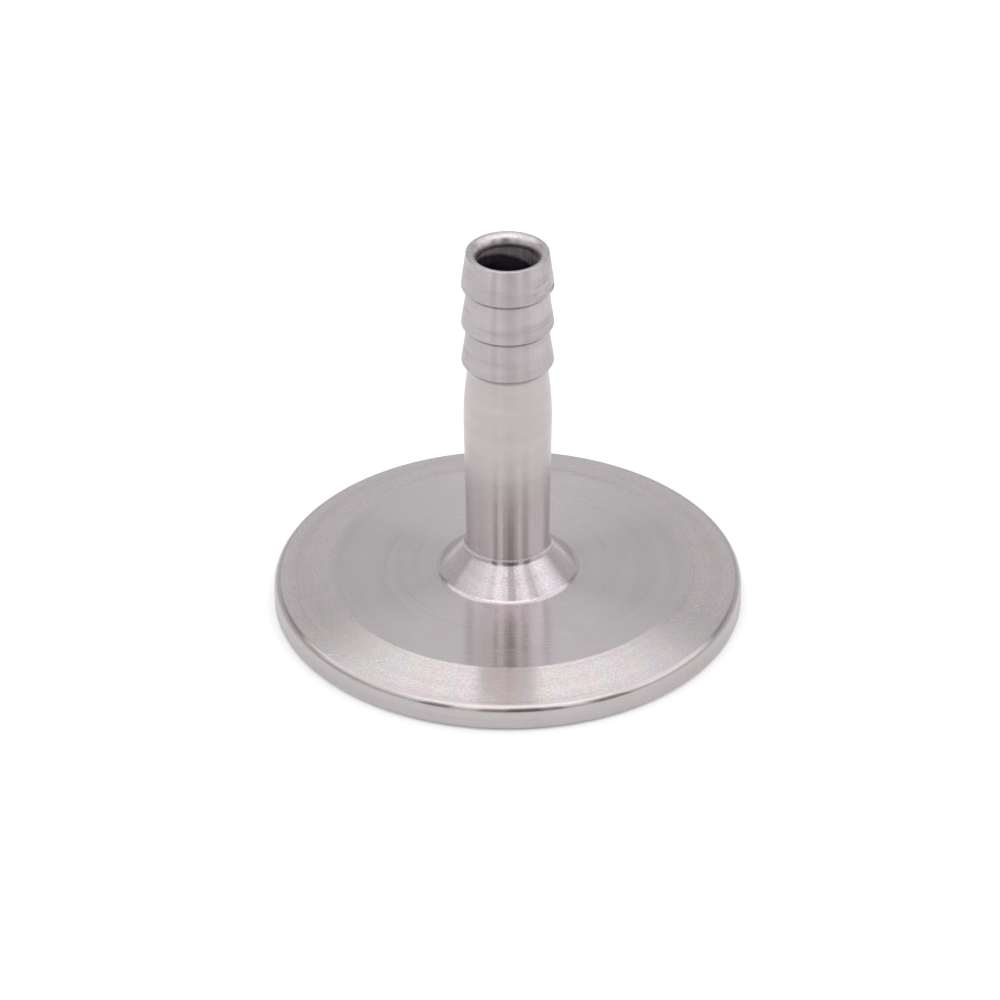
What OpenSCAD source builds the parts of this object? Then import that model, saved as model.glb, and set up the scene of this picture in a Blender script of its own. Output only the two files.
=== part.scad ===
// Hose barb fitting on a clamp flange, turned in one piece from stainless steel bar.
// The origin is the centre of the sealing face. The stem rises along +Z, in millimetres.

/* [Flange] */
// Outer diameter of the clamp flange
flange_d = 50.5; // [48:0.5:56]
// Thickness of the flange inside its bevel
flange_t = 3.9; // [3.5:0.1:6]
// Diameter at which the flat top turns down into the clamp bevel
bevel_d = 38.7; // [34:0.1:42]
// Slope of the clamp bevel, in degrees below the flat top
bevel_slope = 11; // [8:1:20]
// Radius of the rim's upper edge
rim_round = 0.85; // [0.2:0.05:1.2]
// Width of the chamfer on the rim's lower edge
rim_chamfer = 0.3; // [0.05:0.05:0.4]

/* [Gasket groove] */
// Diameter of the groove's centre line in the sealing face
groove_d = 43.5; // [38:0.1:45]
// Radius of the groove's round section
groove_round = 1.5; // [1.5:0.1:1.9]
// Depth of the groove from the sealing face
groove_depth = 1.5; // [0.8:0.1:1.5]

/* [Hub] */
// Diameter of the hub cone where it meets the flange
hub_d = 15; // [13:0.1:20]
// Height of the hub cone above the flange's flat top
hub_h = 3.3; // [2:0.1:6]
// Radius of the fillet between the flange and the hub cone
hub_foot_fillet = 0.8; // [0.2:0.1:1.5]
// Radius of the fillet between the hub cone and the shank
hub_top_fillet = 1.2; // [0.2:0.1:2]

/* [Shank] */
// Height of the fitting, from the sealing face to the end face
overall_h = 43; // [40:0.1:60]
// Diameter of the shank at its foot, on the hub
shank_foot_d = 8.95; // [8.7:0.05:10]
// Diameter of the shank where its rounded swell ends
shank_d = 9.4; // [9:0.05:10.5]
// Diameter of the neck under the last barb
neck_d = 8.15; // [7.8:0.05:8.8]
// Length of the rounded swell from the neck down to the full shank
swell_l = 6.9; // [3:0.1:10]

/* [Barbs] */
// Number of barbs
barb_count = 3; // [1:1:5]
// Diameter of each barb's crest, before its edge is rounded
barb_d = 9.85; // [9.2:0.05:11]
// Diameter of the valley in which each further barb starts
root_d = 8.5; // [8:0.05:9]
// Diameter of the end face, where the first barb starts
tip_d = 8.75; // [8:0.05:9]
// Distance from the end face to the first barb's shoulder
nose_l = 4; // [3:0.1:6]
// Distance from one barb's shoulder to the next
barb_pitch = 4.56; // [3.5:0.01:5.5]
// Radius of each barb's crest
crest_round = 0.25; // [0.1:0.05:0.35]
// Radius of the fillet under each barb's shoulder
valley_fillet = 0.15; // [0.05:0.05:0.3]
// Radius of the end face's outer edge
tip_round = 0.1; // [0.05:0.05:0.3]

/* [Bore] */
// Diameter of the bore, which runs right through
bore_d = 6.5; // [5:0.1:6.7]
// Diameter of the bore's rounded mouth, where it meets the end face
mouth_d = 8.4; // [6.8:0.1:8.4]
// Depth at which the rounded mouth becomes the straight bore
mouth_depth = 1.15; // [0.4:0.05:2]
// Width of the bore's chamfer at the sealing face
bore_chamfer = 0.3; // [0.1:0.05:1]

/* [Hidden] */

// Sides of every circle that is turned about the axis
$fn = 128;
// Straight steps in the arc of a rounded corner
corner_steps = 6;
// Straight steps in the shank's swell and in the bore's mouth
swell_steps = 8;
// How far a cut runs past the face that it opens
overcut = 1;

// Height at which the bevel reaches the flange's outer diameter
rim_top = flange_t - (flange_d - bevel_d) / 2 * tan(bevel_slope);
hub_top = flange_t + hub_h;
// Height of the shoulder under the last barb, where the shank starts
last_shoulder = overall_h - nose_l - (barb_count - 1) * barb_pitch;
swell_foot = last_shoulder - swell_l;
// Width of the mouth's rounding, which ends inside the end face's outer edge
mouth_w = min(mouth_d / 2, tip_d / 2 - tip_round) - bore_d / 2;

// Unit vector along v
function unit(v) = v / norm(v);

// Vector v turned by an angle about the origin
function turned(v, angle) = [
    v.x * cos(angle) - v.y * sin(angle),
    v.x * sin(angle) + v.y * cos(angle)
];

// Arc of radius r that replaces the corner b of the path a, b, c
function corner_arc(a, b, c, r) =
    let (
        to_a = unit(a - b),
        to_c = unit(c - b),
        half = acos(to_a * to_c) / 2,
        centre = b + unit(to_a + to_c) * r / sin(half),
        spoke = b + to_a * r / tan(half) - centre,
        sweep = (180 - 2 * half) * (cross(to_a, to_c) > 0 ? -1 : 1)
    )
    [for (i = [0 : corner_steps]) centre + turned(spoke, sweep * i / corner_steps)];

// Plain points of a path of [radius, height, corner radius] entries
function rounded(path) =
    let (
        n = len(path),
        at = [for (p = path) [p.x, p.y]]
    )
    [for (i = [0 : n - 1])
        each path[i].z == 0
            ? [at[i]]
            : corner_arc(at[(i + n - 1) % n], at[i], at[(i + 1) % n], path[i].z)];

// Radius of the circle whose arc is l long and stands h proud, level at one end
function arc_radius(l, h) = (l * l + h * h) / (2 * h);

// Distance that this arc falls away, s along from its level end
function arc_fall(l, h, s) = arc_radius(l, h) - sqrt(pow(arc_radius(l, h), 2) - s * s);

// Sealing face, rim, bevel and flat top, from the axis outwards and back to the hub
flange_path = [
    [0, 0, 0],
    [flange_d / 2 - rim_chamfer, 0, 0],
    [flange_d / 2, rim_chamfer, 0],
    [flange_d / 2, rim_top, rim_round],
    [bevel_d / 2, flange_t, 0],
    [hub_d / 2, flange_t, hub_foot_fillet]
];

// Foot of the shank on the hub, the slim taper and the swell up to the neck
shank_path = [
    [shank_foot_d / 2, hub_top, hub_top_fillet],
    for (i = [0 : swell_steps - 1])
        let (s = swell_l * i / swell_steps)
        [shank_d / 2 - arc_fall(swell_l, (shank_d - neck_d) / 2, s), swell_foot + s, 0],
    [neck_d / 2, last_shoulder, valley_fillet]
];

// Saw-tooth barbs from the last one up to the end face
barb_path = [
    for (i = [0 : barb_count - 1])
        let (shoulder = last_shoulder + i * barb_pitch)
        each i < barb_count - 1
            ? [[barb_d / 2, shoulder, crest_round], [root_d / 2, shoulder + barb_pitch, valley_fillet]]
            : [[barb_d / 2, shoulder, crest_round]],
    [tip_d / 2, overall_h, tip_round],
    [0, overall_h, 0]
];

module turned_body() {
    rotate_extrude()
        polygon(rounded(concat(flange_path, shank_path, barb_path)));
}

// Half section of the bore's mouth: a quarter of an ellipse, level with the end face
module mouth_section() {
    polygon([
        [0, -mouth_depth],
        for (i = [0 : swell_steps])
            let (a = 90 * i / swell_steps)
            [bore_d / 2 + mouth_w * (1 - cos(a)), -mouth_depth * (1 - sin(a))],
        [bore_d / 2 + mouth_w, overcut],
        [0, overcut]
    ]);
}

module bore() {
    translate([0, 0, -overcut])
        cylinder(d = bore_d, h = overall_h + 2 * overcut);
    translate([0, 0, overall_h])
        rotate_extrude() mouth_section();
    translate([0, 0, -overcut])
        cylinder(r1 = bore_d / 2 + bore_chamfer + overcut, r2 = bore_d / 2, h = bore_chamfer + overcut);
}

module gasket_groove() {
    rotate_extrude()
        translate([groove_d / 2, groove_depth - groove_round])
            circle(r = groove_round);
}

module barb_fitting() {
    color("silver")
        difference() {
            turned_body();
            bore();
            gasket_groove();
        }
}

barb_fitting();
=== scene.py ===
import math

import bmesh
import bpy
from mathutils import Matrix


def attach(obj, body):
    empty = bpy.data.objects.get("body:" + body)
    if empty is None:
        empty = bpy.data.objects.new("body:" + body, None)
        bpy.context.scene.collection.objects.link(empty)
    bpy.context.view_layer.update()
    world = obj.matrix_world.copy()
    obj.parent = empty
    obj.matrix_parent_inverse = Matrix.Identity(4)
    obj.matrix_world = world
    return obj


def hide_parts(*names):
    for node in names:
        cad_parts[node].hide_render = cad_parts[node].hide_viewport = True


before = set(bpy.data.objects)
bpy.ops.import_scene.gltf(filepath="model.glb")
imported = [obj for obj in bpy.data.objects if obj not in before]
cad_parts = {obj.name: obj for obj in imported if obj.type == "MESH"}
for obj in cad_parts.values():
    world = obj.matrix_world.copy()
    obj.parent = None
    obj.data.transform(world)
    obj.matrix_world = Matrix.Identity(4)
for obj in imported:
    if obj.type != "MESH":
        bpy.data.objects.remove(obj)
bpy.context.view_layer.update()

mm = 0.001
print("frame loaded:", ", ".join(sorted(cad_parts)))


cameraSet = {
    "lens": 180.0,
    "sensor": 36.0,
    "place": (0.0, -0.44936, 0.30356),
    "pitch": 32.950,  # degrees down
    "yaw": 0.0891,
    "roll": -0.0391,
}


def placeCamera(s):
    data = bpy.data.cameras.new("photoCamera")
    data.lens = s["lens"]
    data.sensor_width = s["sensor"]
    data.clip_start = 0.01
    data.clip_end = 20.0
    camera = bpy.data.objects.new("photoCamera", data)
    bpy.context.scene.collection.objects.link(camera)
    p, w, r = (math.radians(s[k]) for k in ("pitch", "yaw", "roll"))
    base = Matrix(((1, 0, 0), (0, -math.sin(p), -math.cos(p)), (0, math.cos(p), -math.sin(p))))
    rows = Matrix.Rotation(r, 3, "Z") @ Matrix.Rotation(w, 3, "Y") @ base
    turn = Matrix((rows[0], -rows[1], -rows[2])).transposed()
    camera.matrix_world = Matrix.Translation(s["place"]) @ turn.to_4x4()
    bpy.context.scene.camera = camera
    return camera


placeCamera(cameraSet)
print("camera placed")


def deselectAll():
    if bpy.context.object and bpy.context.object.mode != "OBJECT":
        bpy.ops.object.mode_set(mode="OBJECT")
    bpy.ops.object.select_all(action="DESELECT")


def pickVerts(obj, test):
    bpy.ops.mesh.select_mode(type="VERT")
    bpy.ops.mesh.select_all(action="DESELECT")
    mesh = bmesh.from_edit_mesh(obj.data)
    found = [v for v in mesh.verts if test(v.co)]
    for v in found:
        v.select = True
    mesh.select_flush_mode()
    bmesh.update_edit_mesh(obj.data)
    return len(found)


fittingSet = {
    "flangeRadius": 25.24,
    "flangeTop": 3.9,
    "bevelRadius": 19.35,
    "bevelSlope": 11.0,
    "rimRound": 0.85,
    "rimChamfer": 0.3,
    "grooveRadius": 21.75,
    "grooveRound": 1.5,
    "hubRadius": 7.5,
    "hubTop": 7.2,
    "hubFootFillet": 0.8,
    "hubTopFillet": 1.2,
    "height": 43.0,
    "shankFootRadius": 4.475,
    "shankRadius": 4.7,
    "neckRadius": 4.075,
    "swellLength": 6.9,
    "barbCount": 3,
    "barbRadius": 4.925,
    "rootRadius": 4.25,
    "tipRadius": 4.375,
    "noseLength": 4.0,
    "barbPitch": 4.56,
    "crestRound": 0.25,
    "valleyFillet": 0.15,
    "tipRound": 0.1,
    "boreRadius": 3.25,
    "mouthRadius": 4.2,
    "mouthDepth": 1.15,
    "boreChamfer": 0.3,
    "edgeBreak": 0.05,  # rounding of edges that the solid keeps sharp
    "bevelBreak": 0.12,
    "roundSteps": 6,
    "arcSteps": 12,
    "spinSteps": 256,
}


def arcFall(length, height, s):
    radius = (length * length + height * height) / (2 * height)
    return radius - math.sqrt(radius * radius - s * s)


def outline(s):
    bevelDrop = (s["flangeRadius"] - s["bevelRadius"]) * math.tan(math.radians(s["bevelSlope"]))
    lastShoulder = s["height"] - s["noseLength"] - (s["barbCount"] - 1) * s["barbPitch"]
    swellFoot = lastShoulder - s["swellLength"]
    e = s["edgeBreak"]
    path = [
        (s["boreRadius"] + s["boreChamfer"], 0, e),
        (s["grooveRadius"] - s["grooveRound"], 0, e),
    ]
    steps = s["arcSteps"]
    for i in range(1, steps):
        a = math.pi * i / steps
        path.append((s["grooveRadius"] - s["grooveRound"] * math.cos(a), s["grooveRound"] * math.sin(a), 0))
    path += [
        (s["grooveRadius"] + s["grooveRound"], 0, e),
        (s["flangeRadius"] - s["rimChamfer"], 0, 0),
        (s["flangeRadius"], s["rimChamfer"], 0),
        (s["flangeRadius"], s["flangeTop"] - bevelDrop, s["rimRound"]),
        (s["bevelRadius"], s["flangeTop"], s["bevelBreak"]),
        (s["hubRadius"], s["flangeTop"], s["hubFootFillet"]),
        (s["shankFootRadius"], s["hubTop"], s["hubTopFillet"]),
    ]
    for i in range(steps):
        t = s["swellLength"] * i / steps
        fall = arcFall(s["swellLength"], s["shankRadius"] - s["neckRadius"], t)
        path.append((s["shankRadius"] - fall, swellFoot + t, 0))
    path.append((s["neckRadius"], lastShoulder, s["valleyFillet"]))
    for i in range(s["barbCount"]):
        shoulder = lastShoulder + i * s["barbPitch"]
        path.append((s["barbRadius"], shoulder, s["crestRound"]))
        if i < s["barbCount"] - 1:
            path.append((s["rootRadius"], shoulder + s["barbPitch"], s["valleyFillet"]))
    path.append((s["tipRadius"], s["height"], s["tipRound"]))
    path.append((s["mouthRadius"], s["height"], 0))
    for i in range(1, steps + 1):
        a = math.pi / 2 * (1 - i / steps)
        path.append((s["boreRadius"] + (s["mouthRadius"] - s["boreRadius"]) * (1 - math.cos(a)),
                     s["height"] - s["mouthDepth"] * (1 - math.sin(a)), 0))
    path.append((s["boreRadius"], s["boreChamfer"], 0))
    return path


def drawOutline(obj, path):
    bpy.ops.mesh.select_all(action="SELECT")
    bpy.ops.mesh.merge(type="CENTER")
    x, z = path[0][0] * mm, path[0][1] * mm
    bpy.ops.transform.translate(value=(x, 0, z))
    for point in path[1:]:
        nx, nz = point[0] * mm, point[1] * mm
        bpy.ops.mesh.extrude_region_move(TRANSFORM_OT_translate={"value": (nx - x, 0, nz - z)})
        x, z = nx, nz
    ends = (path[0], path[-1])
    pickVerts(obj, lambda co: any(abs(co.x - p[0] * mm) + abs(co.z - p[1] * mm) < 1e-7 for p in ends))
    bpy.ops.mesh.edge_face_add()


def roundCorner(obj, before, corner, after, radius, steps):
    ax, az = before[0] - corner[0], before[1] - corner[1]
    bx, bz = after[0] - corner[0], after[1] - corner[1]
    la, lb = math.hypot(ax, az), math.hypot(bx, bz)
    half = math.acos((ax * bx + az * bz) / (la * lb)) / 2
    reach = min(radius / math.tan(half), 0.95 * min(la, lb))
    found = pickVerts(obj, lambda co: abs(co.x - corner[0] * mm) + abs(co.z - corner[1] * mm) < 2e-7)
    if found != 1:
        print("corner found", found, corner)
    bpy.ops.mesh.bevel(offset=reach * mm, offset_type="OFFSET", segments=steps, profile=0.5,
                       affect="VERTICES", clamp_overlap=False)


def pickFaces(obj, test):
    bpy.ops.mesh.select_mode(type="FACE")
    bpy.ops.mesh.select_all(action="DESELECT")
    mesh = bmesh.from_edit_mesh(obj.data)
    found = 0
    for face in mesh.faces:
        c = face.calc_center_median()
        if test(math.hypot(c.x, c.y) / mm, c.z / mm, face.normal.z):
            face.select = True
            found += 1
    bmesh.update_edit_mesh(obj.data)
    return found


zoneNames = ("faced", "bevel", "rim", "cone", "shank", "barb", "mouth", "bore", "seal")


def paintZones(obj, s):
    tests = {
        "faced": lambda r, z, up: z > 3.8 and r < s["bevelRadius"] - 0.05,
        "bevel": lambda r, z, up: r > s["bevelRadius"] - 0.05 and 0.9 < up,
        "rim": lambda r, z, up: r > 24.5 and z < 3.2 and up > -0.9 and (up < 0.97 or r > 25.2),
        "cone": lambda r, z, up: s["flangeTop"] + 0.02 < z < s["hubTop"] + 0.9 and r > 4.3,
        "shank": lambda r, z, up: s["hubTop"] + 0.9 <= z < 29.8 and r > 4.0,
        "barb": lambda r, z, up: z >= 29.8 and r > 3.9,
        "mouth": lambda r, z, up: z > s["height"] - s["mouthDepth"] and (r < 4.21 and up > 0 or up > 0.8),
        "bore": lambda r, z, up: r < s["boreRadius"] + 0.02 and z < s["height"] - s["mouthDepth"],
        "seal": lambda r, z, up: (up < -0.5 or z < 1.6) and s["boreRadius"] + 0.02 < r < 25.0,
    }
    for i, name in enumerate(zoneNames):
        obj.data.materials.append(bpy.data.materials.new(name + "Steel"))
        obj.active_material_index = i
        found = pickFaces(obj, tests[name])
        bpy.ops.object.material_slot_assign()
        print("zone", name, found, "faces")


def makeFitting(s):
    deselectAll()
    bpy.ops.mesh.primitive_plane_add(size=1 * mm, location=(0, 0, 0))
    obj = bpy.context.object
    obj.name = obj.data.name = "turned_fitting"
    bpy.ops.object.mode_set(mode="EDIT")
    path = outline(s)
    drawOutline(obj, path)
    for i, corner in enumerate(path):
        if corner[2]:
            roundCorner(obj, path[i - 1], corner, path[(i + 1) % len(path)], corner[2], s["roundSteps"])
    bpy.ops.mesh.select_all(action="SELECT")
    bpy.ops.mesh.spin(steps=s["spinSteps"], angle=2 * math.pi, center=(0, 0, 0), axis=(0, 0, 1))
    bpy.ops.mesh.select_all(action="SELECT")
    bpy.ops.mesh.remove_doubles(threshold=1e-6)
    bpy.ops.mesh.normals_make_consistent(inside=False)
    paintZones(obj, s)
    bpy.ops.object.mode_set(mode="OBJECT")
    bpy.ops.object.shade_smooth_by_angle(angle=math.radians(35))
    weighted = obj.modifiers.new("weightedNormals", "WEIGHTED_NORMAL")
    weighted.keep_sharp = True
    bpy.ops.object.modifier_apply(modifier=weighted.name)
    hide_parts("barb_fitting")
    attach(obj, "root")
    return obj


fitting = makeFitting(fittingSet)
print("fitting modelled:", len(fitting.data.vertices), "vertices")


def addNode(tree, kind, **settings):
    node = tree.nodes.new(kind)
    for key, value in settings.items():
        setattr(node, key, value)
    return node


def plug(tree, value, socket):
    if isinstance(value, bpy.types.NodeSocket):
        tree.links.new(value, socket)
    else:
        socket.default_value = value


def sums(tree, operation, a, b=0.0, c=None, clamp=False):
    node = addNode(tree, "ShaderNodeMath", operation=operation, use_clamp=clamp)
    plug(tree, a, node.inputs[0])
    plug(tree, b, node.inputs[1])
    if c is not None:
        plug(tree, c, node.inputs[2])
    return node.outputs[0]


def band(tree, value, low, high, out0=0.0, out1=1.0):
    node = addNode(tree, "ShaderNodeMapRange", interpolation_type="SMOOTHSTEP")
    plug(tree, value, node.inputs["Value"])
    plug(tree, low, node.inputs["From Min"])
    plug(tree, high, node.inputs["From Max"])
    plug(tree, out0, node.inputs["To Min"])
    plug(tree, out1, node.inputs["To Max"])
    return node.outputs["Result"]


def newGroup(name, inputs, outputs):
    group = bpy.data.node_groups.new(name, "ShaderNodeTree")
    for label, kind, value in inputs:
        socket = group.interface.new_socket(label, in_out="INPUT", socket_type=kind)
        socket.default_value = value
    for label, kind in outputs:
        group.interface.new_socket(label, in_out="OUTPUT", socket_type=kind)
    return group, addNode(group, "NodeGroupInput").outputs, addNode(group, "NodeGroupOutput").inputs


def useGroup(tree, group, **values):
    node = addNode(tree, "ShaderNodeGroup", node_tree=group)
    for label, value in values.items():
        plug(tree, value, node.inputs[label])
    return node.outputs


def vector(tree, x, y, z):
    node = addNode(tree, "ShaderNodeCombineXYZ")
    for value, socket in zip((x, y, z), node.inputs):
        plug(tree, value, socket)
    return node.outputs[0]


def noise(tree, place, detail=0.0, rough=0.5, scale=1.0):
    node = addNode(tree, "ShaderNodeTexNoise")
    plug(tree, place, node.inputs["Vector"])
    node.inputs["Scale"].default_value = scale
    node.inputs["Detail"].default_value = detail
    node.inputs["Roughness"].default_value = rough
    return node.outputs["Fac"]


def latheCoords(tree):
    place = addNode(tree, "ShaderNodeTexCoord").outputs["Object"]
    split = addNode(tree, "ShaderNodeSeparateXYZ")
    tree.links.new(place, split.inputs[0])
    x, y, z = split.outputs
    radius = sums(tree, "SQRT", sums(tree, "MULTIPLY_ADD", x, x, sums(tree, "MULTIPLY", y, y)))
    ux = sums(tree, "DIVIDE", x, radius)
    uy = sums(tree, "DIVIDE", y, radius)
    along = sums(tree, "SUBTRACT", radius, z)  # grows steadily along the outline
    return place, x, y, z, radius, ux, uy, along


def makeToolMarks():
    group, given, out = newGroup("toolMarks", [
        ("Pitch", "NodeSocketFloat", 0.0002),  # metres from groove to groove
        ("Waver", "NodeSocketFloat", 0.6),  # how much a groove changes on its way round
    ], [("Height", "NodeSocketFloat"), ("Streak", "NodeSocketFloat"), ("Spoke", "NodeSocketFloat")])
    place, x, y, z, radius, ux, uy, along = latheCoords(group)
    wx = sums(group, "MULTIPLY", ux, given["Waver"])
    wy = sums(group, "MULTIPLY", uy, given["Waver"])
    step = sums(group, "DIVIDE", along, given["Pitch"])
    fine = noise(group, vector(group, wx, wy, step), 2.0, 0.7)
    wide = noise(group, vector(group, wx, wy, sums(group, "MULTIPLY", step, 0.17)), 1.0)
    plug(group, sums(group, "MULTIPLY_ADD", fine, 0.75, sums(group, "MULTIPLY", wide, 0.25)), out["Height"])
    plug(group, band(group, wide, 0.35, 0.65), out["Streak"])
    spoke = noise(group, vector(group, sums(group, "MULTIPLY", ux, 9), sums(group, "MULTIPLY", uy, 9),
                                sums(group, "MULTIPLY", along, 40)), 2.0, 0.6)
    plug(group, band(group, spoke, 0.3, 0.7), out["Spoke"])
    return group


def makeSparkleGrain():
    group, given, out = newGroup("sparkleGrain", [
        ("Size", "NodeSocketFloat", 0.0002),
        ("Stretch", "NodeSocketFloat", 1.3),  # length of a grain along the groove
    ], [("Height", "NodeSocketFloat"), ("Glint", "NodeSocketFloat")])
    place, x, y, z, radius, ux, uy, along = latheCoords(group)
    wide = sums(group, "MULTIPLY", given["Size"], given["Stretch"])
    spot = vector(group, sums(group, "DIVIDE", x, wide), sums(group, "DIVIDE", y, wide),
                  sums(group, "DIVIDE", along, given["Size"]))
    plug(group, noise(group, spot, 1.0), out["Height"])
    cells = addNode(group, "ShaderNodeTexVoronoi")
    cells.inputs["Scale"].default_value = 1.0
    plug(group, spot, cells.inputs["Vector"])
    split = addNode(group, "ShaderNodeSeparateColor")
    plug(group, cells.outputs["Color"], split.inputs[0])
    plug(group, split.outputs[0], out["Glint"])
    return group


# painted sheen: diffraction colours of the turning grooves, tinted into the base colour
def makeRainbowSheen():
    group, given, out = newGroup("paintedRainbowSheen", [
        ("Colour", "NodeSocketColor", (0.69, 0.645, 0.655, 1.0)),
        ("Patch", "NodeSocketFloat", 5.0),  # patches of colour round the axis
        ("Amount", "NodeSocketFloat", 0.05),
    ], [("Colour", "NodeSocketColor")])
    place, x, y, z, radius, ux, uy, along = latheCoords(group)
    wx = sums(group, "MULTIPLY", ux, given["Patch"])
    wy = sums(group, "MULTIPLY", uy, given["Patch"])
    spot = vector(group, wx, wy, sums(group, "MULTIPLY", along, 70))
    hue = noise(group, spot, 1.0)
    tint = addNode(group, "ShaderNodeCombineColor", mode="HSV")
    plug(group, sums(group, "FRACT", sums(group, "MULTIPLY", hue, 2.6)), tint.inputs[0])
    # painted sheen: the diffraction colours are kept to the front side, where the light falls, and are
    # fainter elsewhere
    litFront = sums(group, "MULTIPLY_ADD", band(group, y, -0.004, -0.016), 0.85, 0.15)
    plug(group, sums(group, "MULTIPLY", given["Amount"], litFront), tint.inputs[1])
    tint.inputs[2].default_value = 1.0
    mixed = addNode(group, "ShaderNodeMix", data_type="RGBA", blend_type="MULTIPLY")
    mixed.inputs[0].default_value = 1.0
    plug(group, given["Colour"], mixed.inputs[6])
    plug(group, tint.outputs[0], mixed.inputs[7])
    plug(group, mixed.outputs[2], out["Colour"])
    return group


def makeHandling():
    group, given, out = newGroup("handlingMarks", [
        ("Density", "NodeSocketFloat", 0.3),
    ], [("Scratch", "NodeSocketFloat"), ("Smear", "NodeSocketFloat")])
    place = addNode(group, "ShaderNodeTexCoord").outputs["Object"]
    floor = sums(group, "MULTIPLY_ADD", given["Density"], -0.12, 0.80)
    total = 0.0
    for turn, tilt in ((0.4, 0.2), (-1.1, 0.7), (1.9, -0.5)):
        spin = addNode(group, "ShaderNodeMapping", vector_type="POINT")
        plug(group, place, spin.inputs["Vector"])
        spin.inputs["Rotation"].default_value = (tilt, 0.3 * tilt, turn)
        spin.inputs["Scale"].default_value = (350, 9000, 9000)
        hair = noise(group, spin.outputs[0], 0.0)
        total = sums(group, "MAXIMUM", total, band(group, hair, floor, sums(group, "ADD", floor, 0.05)))
    plug(group, total, out["Scratch"])
    plug(group, band(group, noise(group, place, 2.0, 0.6, 140), 0.42, 0.66), out["Smear"])
    return group


knockAndGlintSet = {
    "places": [  # x, y, z, half length and half width in mm
        (20.10, -7.29, 3.51, 0.13, 0.13),
        (-13.76, -17.33, 3.36, 0.90, 0.09),
        (-19.00, -15.60, 2.90, 0.80, 0.10),
        (1.91, -14.80, 3.90, 0.50, 0.07),
    ],
    # painted glint: the marks' colour is made lighter
    "tone": 1.25,
    "depth": 6.0,  # in thousandths of a mm
}


def makeKnocksAndGlints(s):
    group, given, out = newGroup("knockAndGlintMarks", [], [("Mark", "NodeSocketFloat")])
    place = addNode(group, "ShaderNodeTexCoord").outputs["Object"]
    total = 0.0
    for x, y, z, longHalf, wideHalf in s["places"]:
        away = addNode(group, "ShaderNodeVectorMath", operation="SUBTRACT")
        plug(group, place, away.inputs[0])
        away.inputs[1].default_value = (x * mm, y * mm, z * mm)
        shrunk = addNode(group, "ShaderNodeVectorMath", operation="DIVIDE")
        plug(group, away.outputs[0], shrunk.inputs[0])
        shrunk.inputs[1].default_value = (longHalf * mm, wideHalf * mm, 0.5 * mm)
        size = addNode(group, "ShaderNodeVectorMath", operation="LENGTH")
        plug(group, shrunk.outputs[0], size.inputs[0])
        total = sums(group, "MAXIMUM", total, band(group, size.outputs["Value"], 1.0, 0.4))
    plug(group, total, out["Mark"])
    return group


toolMarks = makeToolMarks()
knockAndGlintMarks = makeKnocksAndGlints(knockAndGlintSet)
sparkleGrain = makeSparkleGrain()
paintedRainbowSheen = makeRainbowSheen()
handlingMarks = makeHandling()
print("pattern groups made")

# grooves and grains are heights in thousandths of a mm, pitch and grain are sizes in mm
finishKeys = ("colour", "rough", "spread", "pitch", "grooves", "grain", "grains",
              "sheenRainbow", "patches", "streaks", "sparkle")
steelSet = {
    "faced": ((0.70, 0.655, 0.67), 0.20, 1.00, 0.22, 0.3, 0.40, 0.20, 0.010, 3.0, 0.03, 0.015),
    # the bevel is lighter than the other zones partly as its own finish and partly as painted light from
    # the overhead lamp it faces
    "bevel": ((0.81, 0.755, 0.755), 0.14, 0.95, 0.30, 1.2, 0.11, 1.6, 0.040, 9.0, 0.05, 0.12),
    "rim": ((0.62, 0.575, 0.585), 0.16, 0.95, 0.20, 1.0, 0.30, 0.6, 0.012, 3.0, 0.04, 0.02),
    "cone": ((0.70, 0.655, 0.675), 0.13, 0.95, 0.24, 1.2, 0.11, 1.7, 0.030, 8.0, 0.04, 0.12),
    "shank": ((0.625, 0.577, 0.582), 0.15, 1.00, 0.24, 0.8, 0.35, 0.10, 0.010, 2.0, 0.03, 0.01),
    "barb": ((0.655, 0.61, 0.62), 0.27, 1.00, 0.24, 2.6, 0.35, 0.20, 0.012, 2.0, 0.08, 0.015),
    # the mouth is lighter as painted light, for the lit back of the flare
    "mouth": ((0.77, 0.72, 0.73), 0.26, 0.60, 0.24, 0.8, 0.24, 1.6, 0.020, 4.0, 0.06, 0.10),
    # the bore's colour is near white so that its top reads as lit: painted light, with painted shadow below
    # from boreShade
    "bore": ((0.98, 0.93, 0.96), 0.42, 0.60, 0.22, 3.5, 0.35, 1.5, 0.020, 4.0, 0.55, 0.10),
    "seal": ((0.69, 0.645, 0.66), 0.20, 1.00, 0.22, 0.8, 0.40, 0.50, 0.012, 3.0, 0.04, 0.02),
}


def bumped(tree, height, metres, normal=None):
    node = addNode(tree, "ShaderNodeBump")
    node.inputs["Distance"].default_value = metres
    plug(tree, height, node.inputs["Height"])
    if normal is not None:
        plug(tree, normal, node.inputs["Normal"])
    return node.outputs[0]


def dimmed(tree, colour, mask, dark):
    mixed = addNode(tree, "ShaderNodeMix", data_type="RGBA", blend_type="MULTIPLY")
    plug(tree, mask, mixed.inputs[0])
    plug(tree, colour, mixed.inputs[6])
    mixed.inputs[7].default_value = (*dark, 1.0)
    return mixed.outputs[2]


wearSet = {
    "glintTone": (1.5, 1.7, 1.4),
    "ring": (0.58, 0.66),  # the highest ridges show as fine dark rings
    "streakRough": 0.02,
    "glintRough": 0.5,
    "smearRough": 0.02,
    "scratchRough": 0.06,
    "scratchDepth": 0.6,  # in thousandths of a mm
}


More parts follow.
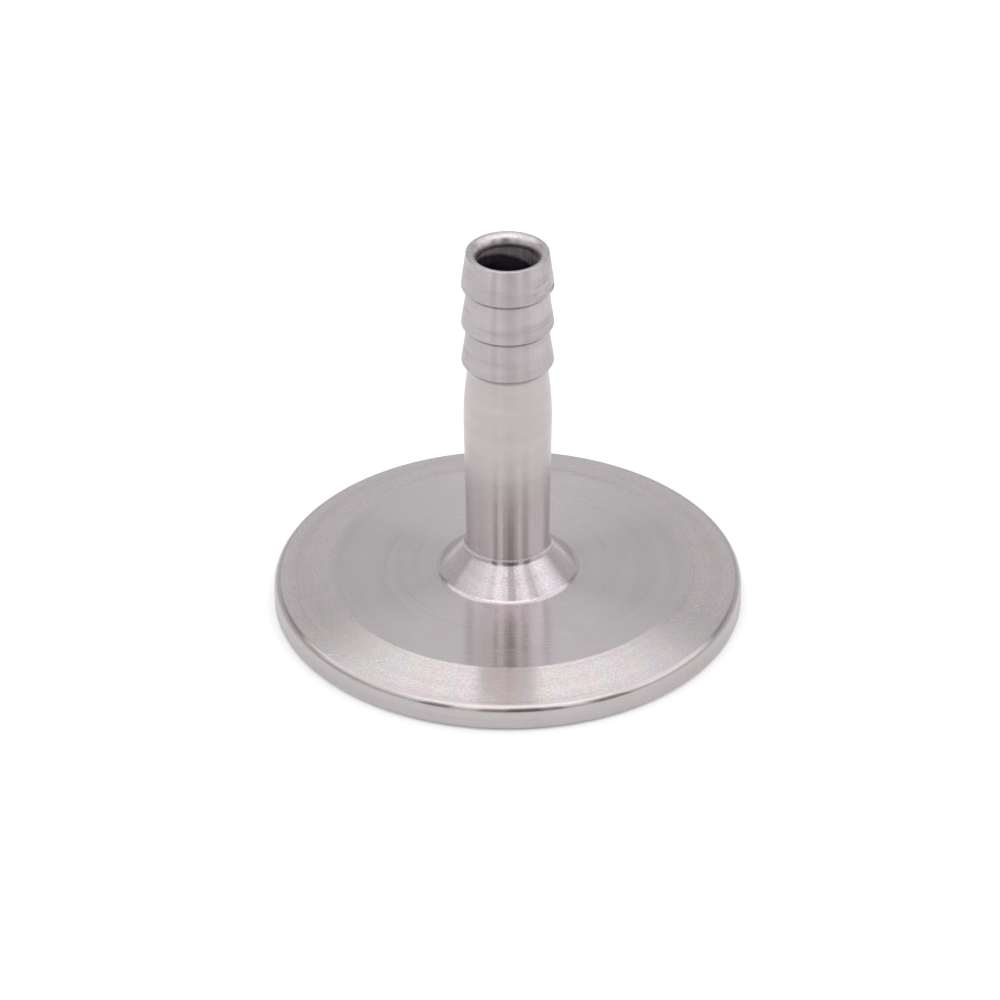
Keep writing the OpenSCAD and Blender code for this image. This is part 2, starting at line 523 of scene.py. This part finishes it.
def steelMaterial(name):
    f = dict(zip(finishKeys, steelSet[name]))
    material = bpy.data.materials[name + "Steel"]
    material.use_nodes = True
    tree = material.node_tree
    tree.nodes.clear()
    out = addNode(tree, "ShaderNodeOutputMaterial")
    bsdf = addNode(tree, "ShaderNodeBsdfPrincipled")
    tree.links.new(bsdf.outputs[0], out.inputs[0])
    bsdf.inputs["Metallic"].default_value = 1.0
    bsdf.inputs["Anisotropic"].default_value = f["spread"]
    bsdf.inputs["Anisotropic Rotation"].default_value = 0.25  # gloss spreads across the grooves
    tangent = addNode(tree, "ShaderNodeTangent", direction_type="RADIAL", axis="Z")
    plug(tree, tangent.outputs[0], bsdf.inputs["Tangent"])
    marks = useGroup(tree, toolMarks, Pitch=f["pitch"] * mm)
    grains = useGroup(tree, sparkleGrain, Size=f["grain"] * mm)
    wear = useGroup(tree, handlingMarks)
    rainbowSheen = useGroup(tree, paintedRainbowSheen, Colour=(*f["colour"], 1.0),
                      Patch=f["patches"], Amount=f["sheenRainbow"])
    streaks, sparkle = f["streaks"], f["sparkle"]
    colour = dimmed(tree, rainbowSheen["Colour"], marks["Streak"], [1 - streaks] * 3)
    colour = dimmed(tree, colour, marks["Spoke"], [1 - 0.5 * streaks] * 3)
    colour = dimmed(tree, colour, grains["Glint"], [1 - k * sparkle for k in wearSet["glintTone"]])
    colour = dimmed(tree, colour, band(tree, marks["Height"], *wearSet["ring"]), [1 - 2 * streaks] * 3)
    if name == "bore":
        colour = boreShade(tree, colour, boreSet)
    # painted shade under the barb shoulders
    if name in ("barb", "shank"):
        colour = shoulderShade(tree, colour, name == "barb", fittingSet, shoulderShadeSet)
    roughness = sums(tree, "MULTIPLY_ADD", marks["Streak"], wearSet["streakRough"], f["rough"])
    roughness = sums(tree, "MULTIPLY_ADD", grains["Glint"], wearSet["glintRough"] * sparkle, roughness)
    roughness = sums(tree, "MULTIPLY_ADD", wear["Smear"], wearSet["smearRough"], roughness)
    roughness = sums(tree, "MULTIPLY_ADD", wear["Scratch"], wearSet["scratchRough"], roughness)
    normal = bumped(tree, marks["Height"], f["grooves"] * 1e-6)
    normal = bumped(tree, grains["Height"], f["grains"] * 1e-6, normal)
    normal = bumped(tree, wear["Scratch"], -wearSet["scratchDepth"] * 1e-6, normal)
    if name == "barb":
        colour, roughness, normal = scuffedBarb(tree, colour, roughness, normal, scuffSet)
    if name in ("faced", "bevel"):
        knocksAndGlints = useGroup(tree, knockAndGlintMarks)["Mark"]
        # the marks are real dents in the bump, and their lighter colour is a painted glint
        colour = dimmed(tree, colour, knocksAndGlints, [knockAndGlintSet["tone"]] * 3)
        normal = bumped(tree, knocksAndGlints, -knockAndGlintSet["depth"] * 1e-6, normal)
    plug(tree, colour, bsdf.inputs["Base Color"])
    plug(tree, roughness, bsdf.inputs["Roughness"])
    plug(tree, normal, bsdf.inputs["Normal"])


scuffSet = {
    "knock": (77.0, 4.85, 38.95, 0.95),  # turn from the front, radius, height and reach in mm
    "scrape": (52.0, 4.75, 40.1, 1.9),
    "knockEdge": 0.35,
    "scrapeEdge": 0.6,
    "wobble": 0.6,
    "lean": 0.6,  # slope of the scraped lines
    "lineScale": (500, 500, 7000),
    "lineDepth": 8.0,  # in thousandths of a mm
    "lineTone": (0.55, 0.53, 0.54),
    # painted shade of the nick's notch
    "nickShadeTone": (0.58, 0.56, 0.57),
}


def scuffedBarb(tree, colour, roughness, normal, s):
    place = addNode(tree, "ShaderNodeTexCoord").outputs["Object"]

    def near(spot, edge):
        turn, radius, height, reach = spot
        a = math.radians(turn)
        gap = addNode(tree, "ShaderNodeVectorMath", operation="DISTANCE")
        plug(tree, place, gap.inputs[0])
        gap.inputs[1].default_value = (radius * math.sin(a) * mm, -radius * math.cos(a) * mm, height * mm)
        ragged = noise(tree, place, 2.0, 0.6, 1800)
        wobble = sums(tree, "MULTIPLY_ADD", ragged, s["wobble"] * mm, -0.5 * s["wobble"] * mm)
        return band(tree, sums(tree, "ADD", gap.outputs["Value"], wobble), reach * mm, (reach - edge) * mm)

    knock = near(s["knock"], s["knockEdge"])
    scrape = near(s["scrape"], s["scrapeEdge"])
    slant = addNode(tree, "ShaderNodeMapping", vector_type="POINT")
    plug(tree, place, slant.inputs["Vector"])
    slant.inputs["Rotation"].default_value = (0.0, s["lean"], 0.0)
    slant.inputs["Scale"].default_value = s["lineScale"]
    lines = noise(tree, slant.outputs[0], 1.0, 0.6)
    lines = sums(tree, "MULTIPLY", scrape, band(tree, lines, 0.48, 0.62))
    colour = dimmed(tree, colour, sums(tree, "MULTIPLY", lines, 0.35), s["lineTone"])
    # painted shade: the nick's notch is painted dark on a rougher, scuffed patch
    colour = dimmed(tree, colour, knock, s["nickShadeTone"])
    roughness = sums(tree, "MULTIPLY_ADD", sums(tree, "MAXIMUM", lines, knock), 0.12, roughness)
    return colour, roughness, bumped(tree, lines, -s["lineDepth"] * 1e-6, normal)


boreSet = {  # heights in mm
    "shadowTop": 40.8,  # painted shadow: the top of the bore is left lit grey, and below this height the wall is painted dark
    "skew": -0.7,  # the painted shadow's edge runs lower on the right
    "ragged": 0.4,
    "fade": 0.5,
    "deepShadowTone": (0.16, 0.148, 0.185),
    # painted shade: a thin dark ring at the foot of the mouth's flare
    "footShade": (41.6, 41.8),
    "footShadeTone": (0.40, 0.38, 0.41),
}


# paints shadow inside the bore: below a ragged, slanted edge the wall is painted dark, and a painted shade
# ring marks the mouth's foot
def boreShade(tree, colour, s):
    place, x, y, z, radius, ux, uy, along = latheCoords(tree)
    edge = sums(tree, "MULTIPLY_ADD", ux, s["skew"] * mm, s["shadowTop"] * mm)
    ragged = noise(tree, place, 2.0, 0.6, 1500)
    edge = sums(tree, "MULTIPLY_ADD", ragged, s["ragged"] * mm, edge)
    deep = band(tree, z, edge, sums(tree, "SUBTRACT", edge, s["fade"] * mm))
    colour = dimmed(tree, colour, deep, s["deepShadowTone"])
    footShade = band(tree, z, s["footShade"][0] * mm, s["footShade"][1] * mm)
    return dimmed(tree, colour, footShade, s["footShadeTone"])


shoulderShadeSet = {  # painted shade: a thin dark line in the corner under each shoulder, where the crest shades it
    "shank": (29.1, 29.5),  # heights in mm where it starts and is full
    "under": (0.87, 0.925),  # shares of the barb pitch
    "over": (0.02, 0.0),
    "end": (40.5, 40.0),
    "tone": (0.50, 0.48, 0.49),
}


# paints shade as a thin dark line under each shoulder, and on the shank's top under the last one
def shoulderShade(tree, colour, barbs, f, s):
    place, x, y, z, radius, ux, uy, along = latheCoords(tree)
    if not barbs:
        line = band(tree, z, s["shank"][0] * mm, s["shank"][1] * mm)
        return dimmed(tree, colour, line, s["tone"])
    lowest = f["height"] - f["noseLength"] - (f["barbCount"] - 1) * f["barbPitch"]
    climb = sums(tree, "SUBTRACT", z, (lowest - 0.01) * mm)
    phase = sums(tree, "FRACT", sums(tree, "DIVIDE", climb, f["barbPitch"] * mm))
    line = sums(tree, "MAXIMUM", band(tree, phase, *s["under"]), band(tree, phase, *s["over"]))
    line = sums(tree, "MULTIPLY", line, band(tree, z, s["end"][0] * mm, s["end"][1] * mm))
    return dimmed(tree, colour, line, s["tone"])


for zone in zoneNames:
    steelMaterial(zone)
print("steel made")


studioSet = {
    "boxSide": 1.86,  # reach of the overhead light, as a share of its height
    "boxBack": 0.82,
    "boxFront": -1.55,
    "boxSoft": 0.04,
    "boxFrontSoft": 0.25,
    "boxGlow": 1.20,
    "boxTilt": 0.02,
    "room": 0.61,
    "floorGlow": 0.33,
    "floorInMetal": 0.42,
    "cardEdge": 1.5,
    "cardFootEdge": 3.0,
    "cardTopEdge": 6.0,
    "cards": [  # from and to in degrees about the upright, bottom, top, dimming
        (-112, 112, 15, 42, 0.92),
        (-13, 26, -5, 46, 0.42),
        (0, 17, -5, 56, 0.42),
        (-41, -27, -5, 44, 0.37),
        (-25, -14, 5, 50, 1.12),
        (40, 58, -5, 44, 0.37),
        (-95, -48, 10, 45, 0.88),
        (68, 110, 10, 40, 1.28),
        (-150, -104, 27, 40, 0.55),
        (116, 150, 27, 40, 0.58),
        (-75, 75, 54, 110, 1.45),
    ],
    "cardTint": (1.0, 0.90, 0.86),
}


def makeFloor(s):
    deselectAll()
    bpy.ops.mesh.primitive_plane_add(size=8.0, location=(0, 0, -0.0001))
    floor = bpy.context.object
    floor.name = "paleFloor"
    material = bpy.data.materials.new("paleFloor")
    material.use_nodes = True
    tree = material.node_tree
    tree.nodes.clear()
    out = addNode(tree, "ShaderNodeOutputMaterial")
    diffuse = addNode(tree, "ShaderNodeBsdfDiffuse")
    diffuse.inputs["Color"].default_value = (0.8, 0.8, 0.8, 1)
    glow = addNode(tree, "ShaderNodeEmission")
    path = addNode(tree, "ShaderNodeLightPath")
    seen = sums(tree, "MAXIMUM", path.outputs["Is Camera Ray"],
                sums(tree, "MULTIPLY", path.outputs["Is Glossy Ray"], s["floorInMetal"]))
    tree.links.new(sums(tree, "MULTIPLY", seen, s["floorGlow"]), glow.inputs["Strength"])
    both = addNode(tree, "ShaderNodeAddShader")
    tree.links.new(diffuse.outputs[0], both.inputs[0])
    tree.links.new(glow.outputs[0], both.inputs[1])
    clear = addNode(tree, "ShaderNodeBsdfTransparent")
    sides = addNode(tree, "ShaderNodeMixShader")  # seen from below, the floor is clear
    tree.links.new(addNode(tree, "ShaderNodeNewGeometry").outputs["Backfacing"], sides.inputs[0])
    tree.links.new(both.outputs[0], sides.inputs[1])
    tree.links.new(clear.outputs[0], sides.inputs[2])
    tree.links.new(sides.outputs[0], out.inputs[0])
    floor.data.materials.append(material)


def makeWorld(s):
    world = bpy.data.worlds.new("studioRoom")
    bpy.context.scene.world = world
    world.use_nodes = True
    tree = world.node_tree
    tree.nodes.clear()
    out = addNode(tree, "ShaderNodeOutputWorld")
    room = addNode(tree, "ShaderNodeBackground")
    coords = addNode(tree, "ShaderNodeTexCoord")
    split = addNode(tree, "ShaderNodeSeparateXYZ")
    tree.links.new(coords.outputs["Generated"], split.inputs[0])
    x, y, z = split.outputs
    up = sums(tree, "MAXIMUM", z, 0.02)
    across = sums(tree, "DIVIDE", x, up)
    deep = sums(tree, "DIVIDE", y, up)
    soft = s["boxSoft"]
    inside = sums(tree, "MULTIPLY",
                  band(tree, sums(tree, "ABSOLUTE", across), s["boxSide"] + soft, s["boxSide"] - soft),
                  sums(tree, "MULTIPLY", band(tree, deep, s["boxBack"] + soft, s["boxBack"] - soft),
                       band(tree, deep, s["boxFront"] - s["boxFrontSoft"],
                            s["boxFront"] + s["boxFrontSoft"])))
    boxLevel = sums(tree, "MULTIPLY_ADD", across, s["boxTilt"], s["boxGlow"])
    turn = sums(tree, "MULTIPLY", sums(tree, "ARCTAN2", x, sums(tree, "MULTIPLY", y, -1)), 180 / math.pi)
    lift = sums(tree, "MULTIPLY", sums(tree, "ARCSINE", z), 180 / math.pi)
    level = addNode(tree, "ShaderNodeMix", data_type="FLOAT")
    tree.links.new(inside, level.inputs[0])
    level.inputs[2].default_value = s["room"]
    tree.links.new(boxLevel, level.inputs[3])
    shade = level.outputs[0]
    plain = shade
    side, foot, head = s["cardEdge"], s["cardFootEdge"], s["cardTopEdge"]
    for low, high, bottom, top, dim in s["cards"]:
        mask = band(tree, turn, low - side, low + side)
        mask = sums(tree, "MULTIPLY", mask, band(tree, turn, high + side, high - side))
        mask = sums(tree, "MULTIPLY", mask, band(tree, lift, bottom - foot, bottom + foot))
        mask = sums(tree, "MULTIPLY", mask, band(tree, lift, top + head, top - head))
        shade = sums(tree, "MULTIPLY", shade, sums(tree, "MULTIPLY_ADD", mask, dim - 1, 1.0))
    path = addNode(tree, "ShaderNodeLightPath")
    warm = addNode(tree, "ShaderNodeMix", data_type="RGBA")
    change = sums(tree, "DIVIDE", shade, plain)
    tinted = sums(tree, "MAXIMUM", band(tree, change, 1.0, 0.3), band(tree, change, 1.3, 1.6))
    plug(tree, sums(tree, "MULTIPLY", tinted, path.outputs["Is Glossy Ray"]), warm.inputs[0])
    warm.inputs[6].default_value = (1, 1, 1, 1)
    warm.inputs[7].default_value = (*s["cardTint"], 1)
    tree.links.new(warm.outputs[2], room.inputs["Color"])
    white = addNode(tree, "ShaderNodeMix", data_type="FLOAT")
    tree.links.new(path.outputs["Is Camera Ray"], white.inputs[0])
    tree.links.new(shade, white.inputs[2])
    white.inputs[3].default_value = 1.0
    tree.links.new(white.outputs[0], room.inputs["Strength"])
    tree.links.new(room.outputs[0], out.inputs[0])


makeFloor(studioSet)
makeWorld(studioSet)
bpy.context.scene.view_settings.view_transform = "Standard"
print("studio lit")
